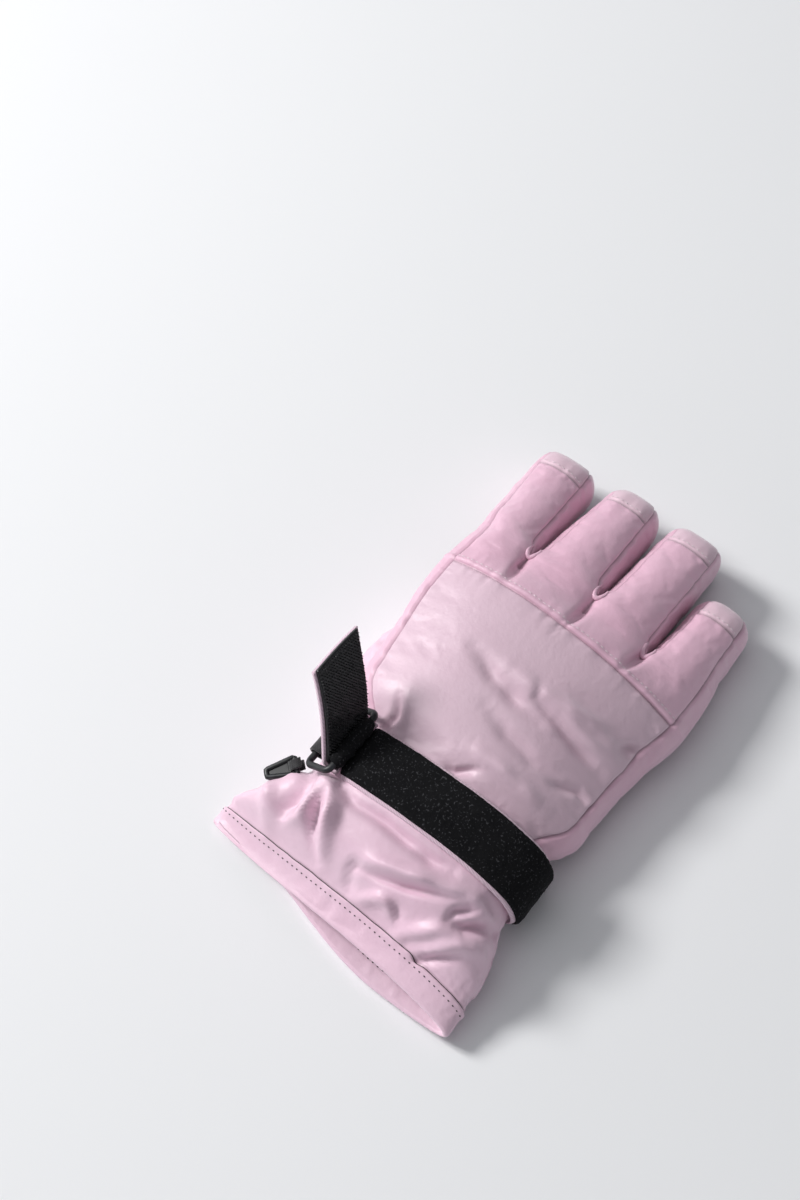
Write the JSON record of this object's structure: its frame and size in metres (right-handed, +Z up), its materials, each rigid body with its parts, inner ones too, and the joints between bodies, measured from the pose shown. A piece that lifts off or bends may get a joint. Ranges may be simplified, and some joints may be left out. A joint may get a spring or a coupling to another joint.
{
  "type": "ski glove",
  "caption": "Right-hand insulated five-finger ski glove lying palm down, with a wrist strap, ring, clip and long cuff.",
  "frame": {"origin": "centre of the bounding box, on the surface that the glove lies on", "axes": "+Y from the cuff to the fingertips, +X to the little finger, +Z up from the surface, out of the back of the hand"},
  "size_m": [0.1322, 0.2416, 0.0747],
  "materials": {
    "shell": "smooth pale pink coated polyester with a soft sheen",
    "grip": "black embossed grip fabric, fine ribbed grid",
    "elastic": "gathered black grip fabric with grey zigzag stitching",
    "lining": "black fine-ribbed knit lining",
    "wadding": "white polyester wadding",
    "strap_fabric": "pale pink woven backing",
    "loop_tape": "black brushed loop tape",
    "hook_tape": "black nylon hook tape, slightly shiny",
    "webbing": "black narrow woven tape",
    "plastic": "dark grey satin moulded acetal"
  },
  "bodies": {
    "hand": {"back_panel": "shell", "knuckle_yoke": "shell", "palm_panel": "grip", "wrist_elastic": "elastic", "little_side_strip": "shell", "index_side_strip": "shell", "hand_insulation": "wadding", "hand_lining": "lining", "cuff_back": "shell", "cuff_palm": "shell", "cuff_hem": "shell", "cuff_lining": "lining", "strap_backing": "strap_fabric", "strap_loop_tape": "loop_tape", "ring_anchor": "webbing", "clip_loop": "webbing"},
    "index_finger": {"index_back": "shell", "index_palm": "grip", "index_inner_strip": "shell", "index_outer_strip": "shell", "index_cap": "shell", "index_insulation": "wadding", "index_lining": "lining"},
    "middle_finger": {"middle_back": "shell", "middle_palm": "grip", "middle_inner_strip": "shell", "middle_outer_strip": "shell", "middle_cap": "shell", "middle_insulation": "wadding", "middle_lining": "lining"},
    "ring_finger": {"ring_back": "shell", "ring_palm": "grip", "ring_inner_strip": "shell", "ring_outer_strip": "shell", "ring_cap": "shell", "ring_insulation": "wadding", "ring_lining": "lining"},
    "little_finger": {"little_back": "shell", "little_palm": "grip", "little_inner_strip": "shell", "little_outer_strip": "shell", "little_cap": "shell", "little_insulation": "wadding", "little_lining": "lining"},
    "thumb": {"thumb_shell": "shell", "thumb_palm": "grip", "thumb_insulation": "wadding", "thumb_lining": "lining"},
    "ring": {"strap_ring": "plastic"},
    "strap_end": {"tab_hook_tape": "hook_tape", "tab_backing": "strap_fabric"},
    "clip": {"glove_clip": "plastic"}
  },
  "joints": [
    {"name": "index_curl", "type": "hinge", "parent": "hand", "child": "index_finger", "pos_m": [-0.0414, 0.05125, 0.031], "axis": [-1, 0, 0], "range_deg": [0, 45]},
    {"name": "middle_curl", "type": "hinge", "parent": "hand", "child": "middle_finger", "pos_m": [-0.0119, 0.05125, 0.029], "axis": [-1, 0, 0], "range_deg": [0, 45]},
    {"name": "ring_curl", "type": "hinge", "parent": "hand", "child": "ring_finger", "pos_m": [0.0201, 0.05125, 0.025], "axis": [-1, 0, 0], "range_deg": [0, 45]},
    {"name": "little_curl", "type": "hinge", "parent": "hand", "child": "little_finger", "pos_m": [0.0491, 0.05125, 0.016], "axis": [-1, 0, 0], "range_deg": [0, 45]},
    {"name": "thumb_swing", "type": "hinge", "parent": "hand", "child": "thumb", "pos_m": [-0.0604, -0.03375, 0.012], "axis": [0, 0, 1], "range_deg": [0, 45]},
    {"name": "ring_turn", "type": "hinge", "parent": "hand", "child": "ring", "pos_m": [-0.04403, -0.05625, 0.03458], "axis": [0, -1, 0], "range_deg": [0, 15]},
    {"name": "strap_end_turn", "type": "hinge", "parent": "ring", "child": "strap_end", "pos_m": [-0.033, -0.05625, 0.0432], "axis": [0, 1, 0], "range_deg": [-8, 90]},
    {"name": "clip_swing", "type": "hinge", "parent": "hand", "child": "clip", "pos_m": [-0.0484, -0.07425, 0.0305], "axis": [-0.766, 0.6428, 0], "range_deg": [0, 70]}
  ]
}
